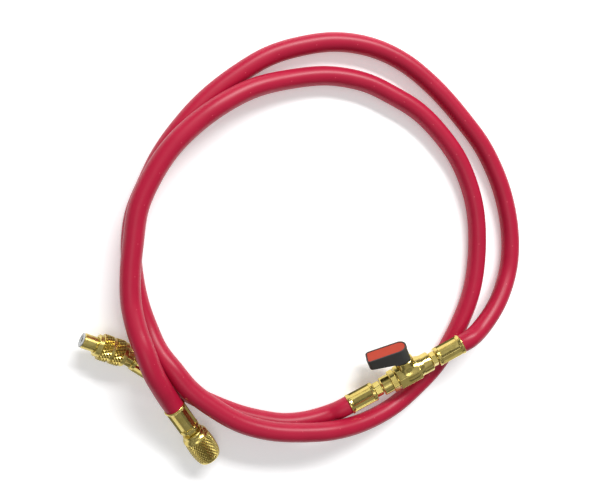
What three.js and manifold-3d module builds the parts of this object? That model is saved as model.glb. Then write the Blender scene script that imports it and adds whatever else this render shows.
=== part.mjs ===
// Refrigerant charging hose: a long rubber hose with a swivel nut, an inline
// ball valve with a lever, and a short whip hose with an angled knurled coupler.
// Millimetres, +Z up, lying on z = 0.

import * as THREE from 'three';
import { mergeVertices } from 'three/addons/utils/BufferGeometryUtils.js';
import Module from 'manifold-3d';

const wasm = await Module();
wasm.setup();

// Clearance kept between neighbouring pieces.
const GAP = 0.3;

// Hose.
const HOSE_OD = 12;
const HOSE_BORE = 5.2;
const HOSE_SIDES = 12;
const HOSE_CRIMPED_OD = 10;
const HOSE_STEP = 17;
const STRAIGHT_END = 6;

// Crimped ferrules, measured from the mouth where the hose goes in.
const FERRULE_LENGTH = 18.8;
const FERRULE_RIM_OD = 13.4;
const FERRULE_RIM_LENGTH = 2.2;
const FERRULE_FLATS = 11.6;
const FERRULE_FLAT_COUNT = 8;
const FERRULE_END_WALL = 1.4;

// Barbed stems that the ferrules clamp the hose on.
const STEM_NECK_OD = 7;
const STEM_BORE = 3;
const STEM_HEX = 8.6;
const SPIGOT_OD = 7.4;
const SPIGOT_LENGTH = 4;

// Swivel nut at the free end of the long hose.
const NUT_OD = 17;
const NUT_LENGTH = 22.8;
const NUT_SHOULDER_OD = 13.4;
const NUT_SHOULDER_LENGTH = 4.4;
const NUT_MOUTH_OD = 15;
const NUT_CHAMFER = 1;
const NUT_RING_LENGTH = 2.4;
const NUT_BARREL = 0.6;
const NUT_SOCKET_DIAMETER = 10.6;
const NUT_BACK_WALL = 2.4;
const STEM_HEAD_LENGTH = 3.4;
const END_SEAL_THICKNESS = 2.4;
const NUT_FROM_FERRULE = 2.8;

// Angled coupler at the end of the whip hose, measured from its elbow.
const ELBOW_OD = 10.4;
const ELBOW_FROM_FERRULE = 4;
const COUPLER_TUBE_OD = 9;
const COUPLER_TUBE_LENGTH = 28.65;
const COUPLER_TUBE_BORE = 4.6;
const COUPLER_FLANGE_OD = 11;
const COUPLER_FLANGE_LENGTH = 1.8;
const SLEEVE_OD = 16;
const SLEEVE_GROOVE_OD = 14.2;
const SLEEVE_GROOVE_LENGTH = 1.9;
const SLEEVE_BAND_LENGTH = 5.4;
const SLEEVE_SKIRT_OD = 14.6;
const SLEEVE_SKIRT_LENGTH = 2.9;
const SLEEVE_COLLAR_OD = 13;
const SLEEVE_COLLAR_LENGTH = 3.1;
const SLEEVE_WALL = 1.4;
const TIP_SEAL_LENGTH = 1.4;

// Ball valve, measured along its axis from the stem.
const BODY_FLATS = 15.4;
const BODY_BLOCK_LEFT = 8.6;
const BODY_BLOCK_RIGHT = 7.1;
const BODY_TUBE_OD = 13.2;
const BODY_TUBE_END = 16.6;
const BODY_CHAMFER = 0.8;
const BOSS_OD = 12.4;
const BOSS_TOP = 12;
const BALL_DIAMETER = 8.4;
const BALL_PORT = 4.2;
const SEAT_THICKNESS = 2;
const TAIL_FLATS = 13;
const TAIL_HEX_LENGTH = 4.4;
const TAIL_TUBE_OD = 12.1;
const TAIL_TUBE_LENGTH = 6.7;
const TAIL_THREAD_OD = 9.4;
const VALVE_NECK_LEFT = 5.3;
const VALVE_NECK_RIGHT = 4.4;

// Valve stem and lever, with heights measured from the valve's axis.
const SHAFT_OD = 5;
const SHAFT_HEAD_OD = 8;
const SHAFT_HEAD_TOP = 20.2;
const TANG_WIDTH = 2;
const TANG_HEIGHT = 1.8;
const LEVER_TOP = 22.4;
const LEVER_LENGTH = 27.2;
const LEVER_WIDTH = 11;
const LEVER_TIP_WIDTH = 10;
const LEVER_TIP_HEIGHT = 6.4;
const LEVER_ROOT_HEIGHT = 9.2;
const LEVER_CORNER = 2.4;
const LEVER_ANGLE = 15;
const HUB_SLOT_WIDTH = 4.6;
const INSERT_BORDER = 1;
const INSERT_DEPTH = 1.4;

// Where the four groups of fittings lie: place, heading and pitch in degrees.
const NUT_FACE = [-45.9, -39.45, 7.1];
const NUT_HEADING = 121.5;
const NUT_PITCH = 14.6;
const ELBOW_PLACE = [-93.78, 26.9, 7.28];
const LEG_HEADING = -35.9;
const LEG_PITCH = -1.5;
const TIP_HEADING = 154.6;
const TIP_PITCH = 11.5;
const VALVE_PLACE = [83.7, 6.1, 16];
const VALVE_HEADING = 26.9;
const VALVE_PITCH = 7.2;
const VALVE_ROLL = -74;

// The long hose between its straight ends, from the nut to the valve.
const MAIN_POINTS = [
  [-75.6, 10, 22.9],
  [-80.5, 20, 25.4],
  [-85, 33, 25.4],
  [-89, 45, 22.2],
  [-91.8, 60, 19.2],
  [-91.8, 78, 18.8],
  [-90, 94, 18.8],
  [-86.8, 114, 18.8],
  [-80, 130, 18.8],
  [-70, 146, 18.5],
  [-57, 160, 17.9],
  [-39, 174, 16.4],
  [-18, 185.5, 12.6],
  [6, 192.5, 8.2],
  [32, 196, 6.2],
  [56, 193, 6.2],
  [74, 186, 6.2],
  [93, 176, 6.2],
  [110, 161, 6.2],
  [124, 143, 6.2],
  [135, 116, 6.2],
  [138, 88, 6.2],
  [135, 59, 6.2],
  [126, 35, 6.2],
  [110, 9, 6.2],
  [91, -9, 6.2],
  [75, -19, 8.2],
  [52, -25.5, 13.6],
  [30, -27, 18.4],
  [9, -26, 18.9],
  [-10, -23, 18.9],
  [-29, -16, 18.9],
  [-48, -3, 18.9],
  [-59.2, 7, 18.6],
  [-68.4, 19, 17.4],
  [-76.5, 30, 13.2],
  [-82, 43, 8.2],
  [-87, 59, 6.2],
  [-90, 77, 6.2],
  [-90.6, 93, 6.2],
  [-88, 111, 6.2],
  [-81, 128, 6.2],
  [-72, 146, 6.2],
  [-59, 164, 6.2],
  [-44, 180, 6.2],
  [-25, 195, 6.2],
  [-7, 206, 6.2],
  [13, 213, 6.2],
  [36, 217, 6.2],
  [60, 215, 6.2],
  [82, 207, 6.2],
  [104, 192, 6.2],
  [126, 171, 6.2],
  [142, 152, 6.2],
  [156, 125, 6.2],
  [163, 97, 6.2],
  [162, 73, 7.6],
  [151, 50, 13],
  [135, 33, 18.2],
];

// The whip hose between its straight ends, from the valve to the coupler.
const WHIP_POINTS = [
  [33, -19.6, 7],
  [17, -23, 6.2],
  [2, -23, 6.2],
  [-12, -20, 6.2],
  [-27, -15, 6.2],
  [-42, -8, 6.2],
  [-56, 0, 6.2],
];

// Materials.
const BRASS = [0.72, 0.58, 0.26];
const DARK_BRASS = [0.62, 0.5, 0.24];
const RED_RUBBER = [0.62, 0.03, 0.08];
const BLACK_PLASTIC = [0.04, 0.04, 0.04];
const ORANGE_PLASTIC = [0.75, 0.12, 0.04];
const SEAL_RUBBER = [0.5, 0.5, 0.48];
const SEAT_PLASTIC = [0.85, 0.85, 0.82];

function material([r, g, b], roughness, metalness) {
  return new THREE.MeshStandardMaterial({ color: new THREE.Color(r, g, b), roughness, metalness });
}

// Closed solids from three.js geometry.

function solid(geometry) {
  const source = geometry.index ? geometry.toNonIndexed() : geometry.clone();
  source.deleteAttribute('normal');
  source.deleteAttribute('uv');
  const merged = mergeVertices(source, 1e-4);
  const corners = merged.index.array;
  const triangles = [];
  for (let i = 0; i < corners.length; i += 3) {
    const [a, b, c] = corners.subarray(i, i + 3);
    if (a !== b && b !== c && a !== c) triangles.push(a, b, c);
  }
  return new wasm.Manifold(new wasm.Mesh({
    numProp: 3,
    vertProperties: new Float32Array(merged.attributes.position.array),
    triVerts: new Uint32Array(triangles),
  }));
}

// A turned piece on the X axis, from a profile of [x, radius] points.
function turned(profile, sides = 28) {
  const points = profile.map(([x, radius]) => new THREE.Vector2(radius, x));
  return solid(new THREE.LatheGeometry(points, sides).rotateZ(-Math.PI / 2));
}

// A turned piece whose profile is closed down to the axis at both ends.
function shaft(profile, sides) {
  const first = profile[0][0];
  const last = profile.at(-1)[0];
  return turned([[first, 0], ...profile, [last, 0]], sides);
}

function cylinder(diameter, from, to, sides) {
  return shaft([[from, diameter / 2], [to, diameter / 2]], sides);
}

// A cylinder with a 45 degree chamfer at either end.
function chamfered(diameter, from, to, startChamfer, endChamfer, sides) {
  const radius = diameter / 2;
  const profile = [];
  if (startChamfer > 0) profile.push([from, radius - startChamfer]);
  profile.push([from + startChamfer, radius], [to - endChamfer, radius]);
  if (endChamfer > 0) profile.push([to, radius - endChamfer]);
  return shaft(profile, sides);
}

// A prism on the X axis with flats, measured across them.
function prism(acrossFlats, flats, from, to) {
  const radius = acrossFlats / 2 / Math.cos(Math.PI / flats);
  const geometry = new THREE.CylinderGeometry(radius, radius, to - from, flats);
  geometry.rotateY(Math.PI / flats).rotateZ(-Math.PI / 2);
  return solid(geometry.translate((from + to) / 2, 0, 0));
}

function extruded(shape, height, bottom, curveSegments = 8) {
  const geometry = new THREE.ExtrudeGeometry(shape, { depth: height, bevelEnabled: false, curveSegments });
  return solid(geometry.translate(0, 0, bottom));
}

function upright(piece) {
  return piece.rotate([0, -90, 0]);
}

function block(width, depth, height, x, y, z) {
  return solid(new THREE.BoxGeometry(width, depth, height).translate(x, y, z));
}

function named(name, piece, look) {
  const result = piece.getMesh();
  const geometry = new THREE.BufferGeometry();
  geometry.setAttribute('position', new THREE.BufferAttribute(result.vertProperties, 3));
  geometry.setIndex(new THREE.BufferAttribute(result.triVerts, 1));
  geometry.computeVertexNormals();
  const mesh = new THREE.Mesh(geometry, look);
  mesh.name = name;
  return mesh;
}

// A group whose X axis has a heading from +X and a pitch up from the floor.
function placed(place, heading, pitch, roll = 0) {
  const group = new THREE.Group();
  group.position.set(...place);
  group.rotation.order = 'ZYX';
  group.rotation.set(...[roll, -pitch, heading].map(THREE.MathUtils.degToRad));
  group.updateMatrixWorld(true);
  return group;
}

// Hose fittings shared by the four hose ends.

const ferruleBore = HOSE_CRIMPED_OD + 2 * GAP;
const ferruleDepth = FERRULE_LENGTH - FERRULE_END_WALL;
const barbEnd = 1;

// A ferrule with its mouth at x = 0 and its end wall at FERRULE_LENGTH.
function ferrule() {
  const outside = prism(FERRULE_FLATS, FERRULE_FLAT_COUNT, 0.5, FERRULE_LENGTH - 0.5)
    .add(chamfered(FERRULE_RIM_OD, 0, FERRULE_RIM_LENGTH, 0.4, 0.6))
    .add(chamfered(FERRULE_RIM_OD, FERRULE_LENGTH - FERRULE_RIM_LENGTH, FERRULE_LENGTH, 0.6, 0.4));
  return outside
    .subtract(cylinder(ferruleBore, -1, ferruleDepth))
    .subtract(cylinder(STEM_NECK_OD + 2 * GAP, 0, FERRULE_LENGTH + 1));
}

// The barb inside the hose and the neck through the ferrule's end wall.
function barb() {
  const barbOD = HOSE_BORE - 2 * GAP;
  return cylinder(barbOD, barbEnd, ferruleDepth + 0.1, 20)
    .add(cylinder(STEM_NECK_OD, ferruleDepth - GAP, FERRULE_LENGTH + GAP + 0.1, 24));
}

function stemBore(to) {
  return cylinder(STEM_BORE, 0, to, 16);
}

// A hose along its route, its two ends necked down and bored for their stems.
function hose(route) {
  const curve = new THREE.CatmullRomCurve3(route);
  const section = new THREE.Shape();
  for (let i = 0; i < HOSE_SIDES; i += 1) {
    const angle = 2 * Math.PI * i / HOSE_SIDES;
    const corner = [HOSE_OD / 2 * Math.cos(angle), HOSE_OD / 2 * Math.sin(angle)];
    if (i === 0) section.moveTo(...corner);
    else section.lineTo(...corner);
  }
  section.closePath();
  const steps = Math.round(curve.getLength() / HOSE_STEP);
  const tube = solid(new THREE.ExtrudeGeometry(section, { steps, extrudePath: curve }));
  return { tube, length: curve.getLength() };
}

// The necked end that a ferrule clamps, in the ferrule's own frame.
function hoseEnd() {
  return cylinder(HOSE_CRIMPED_OD, -2, ferruleDepth - 2 * GAP, 24);
}

function hoseEndBore() {
  return cylinder(HOSE_BORE, barbEnd - GAP, ferruleDepth, 20);
}

function inWorld(piece, frame) {
  return piece.transform(frame.matrixWorld.toArray());
}

function finishedHose(points, startFrame, endFrame) {
  const along = (frame, x) => new THREE.Vector3(x, 0, 0).applyMatrix4(frame.matrixWorld);
  const route = [
    along(startFrame, -GAP),
    along(startFrame, -STRAIGHT_END),
    ...points.map((point) => new THREE.Vector3(...point)),
    along(endFrame, -STRAIGHT_END),
    along(endFrame, -GAP),
  ];
  let { tube } = hose(route);
  for (const frame of [startFrame, endFrame]) {
    tube = tube.add(inWorld(hoseEnd(), frame)).subtract(inWorld(hoseEndBore(), frame));
  }
  return tube;
}

// Frames. Each ferrule's frame has its X axis running in from its mouth.

const brass = material(BRASS, 0.28, 1);
const darkBrass = material(DARK_BRASS, 0.4, 1);
const rubber = material(RED_RUBBER, 0.5, 0);

function childFrame(parent, x, turn) {
  const frame = new THREE.Group();
  frame.position.set(x, 0, 0);
  frame.rotation.set(0, 0, turn);
  parent.add(frame);
  parent.updateMatrixWorld(true);
  return frame;
}

// Nut group: X runs from the nut's open face back towards the hose.
const nutGroup = placed(NUT_FACE, NUT_HEADING, NUT_PITCH);
const nutMouthToFerrule = NUT_LENGTH + NUT_FROM_FERRULE + FERRULE_LENGTH;
const nutFerruleFrame = childFrame(nutGroup, nutMouthToFerrule, Math.PI);

function endNut() {
  const radius = NUT_OD / 2;
  const knurlEnd = NUT_LENGTH - NUT_SHOULDER_LENGTH;
  const outside = shaft([
    [0, NUT_MOUTH_OD / 2 - NUT_CHAMFER],
    [NUT_CHAMFER, NUT_MOUTH_OD / 2],
    [NUT_RING_LENGTH, NUT_MOUTH_OD / 2],
    [NUT_RING_LENGTH + 0.5, radius - NUT_BARREL],
    [NUT_LENGTH / 2, radius],
    [knurlEnd - 1, radius],
    [knurlEnd, radius - NUT_CHAMFER],
    [knurlEnd + 1.4, NUT_SHOULDER_OD / 2],
    [NUT_LENGTH - 0.6, NUT_SHOULDER_OD / 2],
    [NUT_LENGTH, NUT_SHOULDER_OD / 2 - 0.6],
  ], 36);
  return outside
    .subtract(cylinder(NUT_SOCKET_DIAMETER, -1, NUT_LENGTH - NUT_BACK_WALL, 32))
    .subtract(cylinder(STEM_NECK_OD + 2 * GAP, 0, NUT_LENGTH + 1, 24));
}

// The long hose's stem, in its ferrule's frame: barb, neck and a head that
// holds the nut from inside.
function endStem() {
  const nutBack = FERRULE_LENGTH + NUT_FROM_FERRULE;
  const headStart = nutBack + NUT_BACK_WALL + GAP;
  const headEnd = headStart + STEM_HEAD_LENGTH;
  return barb()
    .add(prism(STEM_HEX, 6, FERRULE_LENGTH + GAP, nutBack - GAP))
    .add(cylinder(STEM_NECK_OD, nutBack - 1, headEnd, 24))
    .add(cylinder(NUT_SOCKET_DIAMETER - 2 * GAP, headStart, headEnd, 24))
    .subtract(stemBore(headEnd + 1));
}

function endSeal() {
  const from = FERRULE_LENGTH + NUT_FROM_FERRULE + NUT_BACK_WALL + STEM_HEAD_LENGTH + 2 * GAP;
  return cylinder(NUT_SOCKET_DIAMETER - 2 * GAP, from, from + END_SEAL_THICKNESS, 24)
    .subtract(cylinder(STEM_BORE + 1, from - 1, from + END_SEAL_THICKNESS + 1, 16));
}

nutGroup.add(named('end_nut', endNut(), brass));
nutFerruleFrame.add(
  named('end_ferrule', ferrule(), brass),
  named('end_stem', endStem(), darkBrass),
  named('end_seal', endSeal(), material(SEAL_RUBBER, 0.6, 0)),
);

// Coupler: the leg frame runs from the elbow to the whip's ferrule mouth, the
// tip frame from the elbow to the coupler's open end.
const legGroup = placed(ELBOW_PLACE, LEG_HEADING, LEG_PITCH);
const legFerruleFrame = childFrame(legGroup, ELBOW_FROM_FERRULE + FERRULE_LENGTH, Math.PI);
const tipGroup = placed(ELBOW_PLACE, TIP_HEADING, TIP_PITCH);

const sleeveBack = ELBOW_OD / 2 * 0.35;
const sleeveLength = SLEEVE_SKIRT_LENGTH + 2 * SLEEVE_BAND_LENGTH
  + SLEEVE_GROOVE_LENGTH + SLEEVE_COLLAR_LENGTH;
const sleeveFront = sleeveBack + sleeveLength;

function elbowStem() {
  const leg = inWorld(
    barb().add(cylinder(ELBOW_OD - 0.6, FERRULE_LENGTH + GAP, FERRULE_LENGTH + ELBOW_FROM_FERRULE, 12)),
    legFerruleFrame,
  );
  const knuckle = solid(new THREE.SphereGeometry(ELBOW_OD / 2, 16, 12).rotateX(Math.PI / 2));
  const flangeEnd = sleeveBack + COUPLER_FLANGE_LENGTH + 3;
  const front = inWorld(
    knuckle
      .add(cylinder(ELBOW_OD - 1.2, 0, flangeEnd - 1, 24))
      .add(cylinder(COUPLER_FLANGE_OD, flangeEnd - COUPLER_FLANGE_LENGTH, flangeEnd, 24))
      .add(cylinder(COUPLER_TUBE_OD, flangeEnd - 1, COUPLER_TUBE_LENGTH, 24))
      .subtract(cylinder(COUPLER_TUBE_BORE, COUPLER_TUBE_LENGTH - TIP_SEAL_LENGTH - 6, COUPLER_TUBE_LENGTH + 1, 20)),
    tipGroup,
  );
  const bores = inWorld(stemBore(FERRULE_LENGTH + ELBOW_FROM_FERRULE), legFerruleFrame)
    .add(inWorld(cylinder(STEM_BORE, -0.5, COUPLER_TUBE_LENGTH, 16), tipGroup));
  return leg.add(front).subtract(bores);
}

function couplerSleeve() {
  const band = SLEEVE_OD / 2;
  const skirtEnd = sleeveBack + SLEEVE_SKIRT_LENGTH;
  const grooveStart = skirtEnd + SLEEVE_BAND_LENGTH;
  const grooveEnd = grooveStart + SLEEVE_GROOVE_LENGTH;
  const bandEnd = grooveEnd + SLEEVE_BAND_LENGTH;
  const outside = shaft([
    [sleeveBack, SLEEVE_SKIRT_OD / 2 - 0.6],
    [sleeveBack + 0.6, SLEEVE_SKIRT_OD / 2],
    [skirtEnd, SLEEVE_SKIRT_OD / 2],
    [skirtEnd + 0.3, band],
    [grooveStart - 0.3, band],
    [grooveStart, SLEEVE_GROOVE_OD / 2],
    [grooveEnd, SLEEVE_GROOVE_OD / 2],
    [grooveEnd + 0.3, band],
    [bandEnd - 0.3, band],
    [bandEnd, SLEEVE_COLLAR_OD / 2 + 0.4],
    [bandEnd + 0.4, SLEEVE_COLLAR_OD / 2],
    [sleeveFront - 0.4, SLEEVE_COLLAR_OD / 2],
    [sleeveFront, SLEEVE_COLLAR_OD / 2 - 0.4],
  ], 36);
  return outside
    .subtract(cylinder(COUPLER_FLANGE_OD + 2 * GAP, sleeveBack - 1, sleeveFront - SLEEVE_WALL, 28))
    .subtract(cylinder(COUPLER_TUBE_OD + 2 * GAP, sleeveBack, sleeveFront + 1, 28));
}

function tipSeal() {
  const end = COUPLER_TUBE_LENGTH + 0.8;
  return cylinder(COUPLER_TUBE_OD - 0.4, COUPLER_TUBE_LENGTH + GAP, end, 24)
    .add(cylinder(COUPLER_TUBE_BORE - 2 * GAP + 0.001, COUPLER_TUBE_LENGTH - TIP_SEAL_LENGTH, end - 0.1, 20))
    .subtract(cylinder(STEM_BORE - 0.4, COUPLER_TUBE_LENGTH - TIP_SEAL_LENGTH - 1, end + 1, 16));
}

legFerruleFrame.add(named('elbow_ferrule', ferrule(), brass));
tipGroup.add(
  named('coupler_sleeve', couplerSleeve(), brass),
  named('coupler_seal', tipSeal(), material(SEAL_RUBBER, 0.6, 0)),
);

// Valve group: X runs from the whip towards the long hose, Z up the valve stem.
const valveGroup = placed(VALVE_PLACE, VALVE_HEADING, VALVE_PITCH, VALVE_ROLL);
const tailEnd = -(BODY_BLOCK_LEFT + GAP + TAIL_HEX_LENGTH + TAIL_TUBE_LENGTH);
const whipMouth = tailEnd - VALVE_NECK_LEFT - FERRULE_LENGTH;
const mainMouth = BODY_TUBE_END + VALVE_NECK_RIGHT + FERRULE_LENGTH;
const whipFerruleFrame = childFrame(valveGroup, whipMouth, 0);
const mainFerruleFrame = childFrame(valveGroup, mainMouth, Math.PI);

const ballRadius = BALL_DIAMETER / 2;
const chamberRadius = TAIL_THREAD_OD / 2 + GAP;
const seatRadius = TAIL_THREAD_OD / 2;
const seatInner = ballRadius - 1.4;
const seatOuter = seatInner + SEAT_THICKNESS;

function valveStem(neck) {
  const hexEnd = FERRULE_LENGTH + neck - GAP;
  return barb()
    .add(prism(STEM_HEX, 6, FERRULE_LENGTH + GAP, hexEnd))
    .add(cylinder(SPIGOT_OD, hexEnd - 1, FERRULE_LENGTH + neck + SPIGOT_LENGTH, 24))
    .subtract(stemBore(FERRULE_LENGTH + neck + SPIGOT_LENGTH + 1));
}

function spigotHole(face, inward) {
  const to = face + inward * (SPIGOT_LENGTH + GAP);
  return cylinder(SPIGOT_OD + 2 * GAP, Math.min(face - inward, to), Math.max(face - inward, to), 24);
}

function valveBody() {
  const chamberEnd = seatOuter + GAP;
  return prism(BODY_FLATS, 8, -BODY_BLOCK_LEFT, BODY_BLOCK_RIGHT)
    .add(chamfered(BODY_TUBE_OD, 0, BODY_TUBE_END, 0, BODY_CHAMFER, 32))
    .add(upright(cylinder(BOSS_OD, 0, BOSS_TOP, 28)))
    .subtract(cylinder(2 * chamberRadius, -BODY_BLOCK_LEFT - 1, chamberEnd, 28))
    .subtract(cylinder(BALL_PORT, 0, BODY_TUBE_END, 20))
    .subtract(spigotHole(BODY_TUBE_END, -1))
    .subtract(upright(cylinder(SHAFT_OD + 2 * GAP, 0, BOSS_TOP + 1, 24)));
}

function valveTailpiece() {
  const hexEnd = -(BODY_BLOCK_LEFT + GAP);
  return prism(TAIL_FLATS, 6, hexEnd - TAIL_HEX_LENGTH, hexEnd)
    .add(chamfered(TAIL_TUBE_OD, tailEnd, hexEnd - TAIL_HEX_LENGTH + 1, 0.6, 0, 32))
    .add(cylinder(TAIL_THREAD_OD, hexEnd - 1, -(seatOuter + GAP), 28))
    .subtract(cylinder(BALL_PORT, tailEnd, 0, 20))
    .subtract(spigotHole(tailEnd, 1));
}

function valveBall() {
  return solid(new THREE.SphereGeometry(ballRadius, 24, 16).rotateX(Math.PI / 2))
    .subtract(cylinder(BALL_PORT, -ballRadius - 1, ballRadius + 1, 20))
    .subtract(block(TANG_WIDTH + 2 * GAP, 2 * ballRadius, 2 * TANG_HEIGHT, 0, 0, ballRadius));
}

function seat() {
  return cylinder(2 * seatRadius, seatInner, seatOuter, 28)
    .subtract(solid(new THREE.SphereGeometry(ballRadius + GAP, 24, 16).rotateX(Math.PI / 2)))
    .subtract(cylinder(BALL_PORT, 0, seatOuter + 1, 20));
}

function valveShaft() {
  const shoulder = ballRadius + GAP;
  return upright(cylinder(SHAFT_OD, shoulder, SHAFT_HEAD_TOP - 1, 24)
    .add(cylinder(SHAFT_HEAD_OD, BOSS_TOP + GAP, SHAFT_HEAD_TOP, 24)))
    .add(block(TANG_WIDTH, SHAFT_OD - 1.4, TANG_HEIGHT, 0, 0, shoulder + 0.1 - TANG_HEIGHT / 2));
}

// Lever, in a frame whose X axis runs from the hub to the tip.
const hubRadius = LEVER_WIDTH / 2;
const leverReach = LEVER_LENGTH - hubRadius;
const leverBottom = BOSS_TOP + GAP;

function leverOutline(inset, cornerRadius) {
  const hub = hubRadius - inset;
  const half = LEVER_TIP_WIDTH / 2 - inset;
  const tip = leverReach - inset;
  const corner = Math.max(cornerRadius - inset, 0.4);
  const outline = new THREE.Shape();
  outline.absarc(0, 0, hub, Math.PI / 2, 3 * Math.PI / 2, false);
  outline.lineTo(tip - corner, -half);
  outline.absarc(tip - corner, -half + corner, corner, -Math.PI / 2, 0, false);
  outline.absarc(tip - corner, half - corner, corner, 0, Math.PI / 2, false);
  outline.closePath();
  return outline;
}

function leverHandle() {
  const height = LEVER_TOP - leverBottom;
  const underside = new THREE.Shape([
    new THREE.Vector2(hubRadius, leverBottom - 1),
    new THREE.Vector2(leverReach + 1, leverBottom - 1),
    new THREE.Vector2(leverReach + 1, LEVER_TOP - LEVER_TIP_HEIGHT),
    new THREE.Vector2(hubRadius, LEVER_TOP - LEVER_ROOT_HEIGHT),
  ]);
  const cut = new THREE.ExtrudeGeometry(underside, { depth: 2 * LEVER_WIDTH, bevelEnabled: false });
  cut.rotateX(Math.PI / 2).translate(0, LEVER_WIDTH, 0);
  const pocket = extruded(leverOutline(INSERT_BORDER - GAP, LEVER_CORNER), INSERT_DEPTH + 1, LEVER_TOP - INSERT_DEPTH);
  const headTop = SHAFT_HEAD_TOP + GAP;
  return extruded(leverOutline(0, LEVER_CORNER), height, leverBottom)
    .subtract(solid(cut))
    .subtract(pocket)
    .subtract(upright(cylinder(SHAFT_HEAD_OD + 2 * GAP, leverBottom - 1, headTop, 24)))
    .subtract(block(hubRadius + 1, HUB_SLOT_WIDTH, headTop - leverBottom + 1,
      -(hubRadius + 1) / 2, 0, (headTop + leverBottom - 1) / 2));
}

function leverInsert() {
  return extruded(leverOutline(INSERT_BORDER, LEVER_CORNER), INSERT_DEPTH - GAP, LEVER_TOP - INSERT_DEPTH + GAP);
}

const leverGroup = new THREE.Group();
leverGroup.rotation.z = Math.PI - THREE.MathUtils.degToRad(LEVER_ANGLE);
valveGroup.add(leverGroup);

valveGroup.add(
  named('valve_body', valveBody(), brass),
  named('valve_tailpiece', valveTailpiece(), brass),
  named('valve_ball', valveBall(), brass),
  named('valve_seat_main', seat(), material(SEAT_PLASTIC, 0.5, 0)),
  named('valve_seat_whip', seat().mirror([1, 0, 0]), material(SEAT_PLASTIC, 0.5, 0)),
  named('valve_stem', valveShaft(), darkBrass),
);
leverGroup.add(
  named('lever_handle', leverHandle(), material(BLACK_PLASTIC, 0.45, 0)),
  named('lever_insert', leverInsert(), material(ORANGE_PLASTIC, 0.45, 0)),
);
whipFerruleFrame.add(
  named('whip_valve_ferrule', ferrule(), brass),
  named('whip_valve_stem', valveStem(VALVE_NECK_LEFT), brass),
);
mainFerruleFrame.add(
  named('main_valve_ferrule', ferrule(), brass),
  named('main_valve_stem', valveStem(VALVE_NECK_RIGHT), brass),
);

const chargingHose = new THREE.Group();
chargingHose.add(nutGroup, legGroup, tipGroup, valveGroup);
chargingHose.updateMatrixWorld(true);
chargingHose.add(
  named('elbow_stem', elbowStem(), brass),
  named('main_hose', finishedHose(MAIN_POINTS, nutFerruleFrame, mainFerruleFrame), rubber),
  named('whip_hose', finishedHose(WHIP_POINTS, whipFerruleFrame, legFerruleFrame), rubber),
);

export default chargingHose;
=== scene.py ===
# %% [markdown]
# # A refrigerant charging hose in Blender
# The hose lies in two loose turns on a white table. Its brass fittings are
# machined, so most of them are turned profiles with a knurl, flats or crimp
# marks worked into them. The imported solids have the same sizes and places, and
# the pieces below dress them. Profiles and routes are given in millimetres.

# %% Load the frame
import bmesh
import bpy
import math
from mathutils import Matrix, Vector


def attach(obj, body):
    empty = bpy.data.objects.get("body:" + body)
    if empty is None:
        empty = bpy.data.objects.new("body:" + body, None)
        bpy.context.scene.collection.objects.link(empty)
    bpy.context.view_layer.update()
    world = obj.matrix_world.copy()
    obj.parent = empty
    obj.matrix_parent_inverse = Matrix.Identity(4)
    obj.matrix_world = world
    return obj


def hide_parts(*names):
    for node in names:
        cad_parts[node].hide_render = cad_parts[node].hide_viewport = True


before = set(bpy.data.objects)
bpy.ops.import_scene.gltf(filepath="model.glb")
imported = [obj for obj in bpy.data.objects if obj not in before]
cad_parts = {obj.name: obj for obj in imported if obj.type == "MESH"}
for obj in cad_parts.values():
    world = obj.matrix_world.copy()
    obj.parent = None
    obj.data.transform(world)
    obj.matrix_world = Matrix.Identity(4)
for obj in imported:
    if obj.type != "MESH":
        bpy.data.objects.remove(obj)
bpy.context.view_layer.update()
MM = 0.001

# %% [markdown]
# ## The camera
# The photo was taken from close above, from a little to the left, so strands
# on the left look wider than those on the right. The camera aims at a point on
# the floor in the middle of the coil and stands along a tilted line from it.

# %% Camera
AIM = Vector((12.8, 86.4, 6)) * MM
CAMERA_DISTANCE = 435 * MM
TILT_LEFT = math.radians(16)
TILT_UP = math.radians(5)
FOCAL_IN_WIDTHS = 690 / 600
SENSOR_WIDTH = 36

towards_camera = Vector((
    -math.sin(TILT_LEFT),
    math.sin(TILT_UP) * math.cos(TILT_LEFT),
    math.cos(TILT_UP) * math.cos(TILT_LEFT),
))
across = Vector((0, 1, 0)).cross(towards_camera).normalized()
upward = towards_camera.cross(across)
camera_data = bpy.data.cameras.new("camera")
camera_data.sensor_width = SENSOR_WIDTH
camera_data.lens = SENSOR_WIDTH * FOCAL_IN_WIDTHS
camera_data.clip_start = 0.01
camera = bpy.data.objects.new("camera", camera_data)
bpy.context.scene.collection.objects.link(camera)
camera.matrix_world = Matrix.Translation(AIM + CAMERA_DISTANCE * towards_camera) @ Matrix((
    across, upward, towards_camera)).transposed().to_4x4()
bpy.context.scene.camera = camera
print("camera", [round(v, 3) for v in camera.matrix_world.translation])

# %% [markdown]
# ## Where the fittings lie
# Each group of fittings has a place, a heading round the vertical and a pitch
# up from the floor. A frame turns those into a matrix whose X axis runs along
# the fitting, so every fitting can be modelled lying on the X axis and then be
# put in its place through its mesh.

# %% Frames of the fittings


def lying_at(place, heading, pitch, roll=0):
    """The matrix of a fitting whose X axis has this heading and pitch, in degrees."""
    return (
        Matrix.Translation(Vector(place) * MM)
        @ Matrix.Rotation(math.radians(heading), 4, "Z")
        @ Matrix.Rotation(math.radians(-pitch), 4, "Y")
        @ Matrix.Rotation(math.radians(roll), 4, "X")
    )


def along(base, x, turned_round=False):
    """A frame further along another's X axis, and facing back if asked."""
    turn = Matrix.Rotation(math.pi, 4, "Z") if turned_round else Matrix()
    return base @ Matrix.Translation((x, 0, 0)) @ turn


FERRULE_LENGTH = 18.8 * MM
NUT_LENGTH = 22.8 * MM
NUT_FROM_FERRULE = 2.8 * MM
ELBOW_FROM_FERRULE = 4 * MM
WHIP_MOUTH = -44.1 * MM
MAIN_MOUTH = 39.8 * MM

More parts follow.
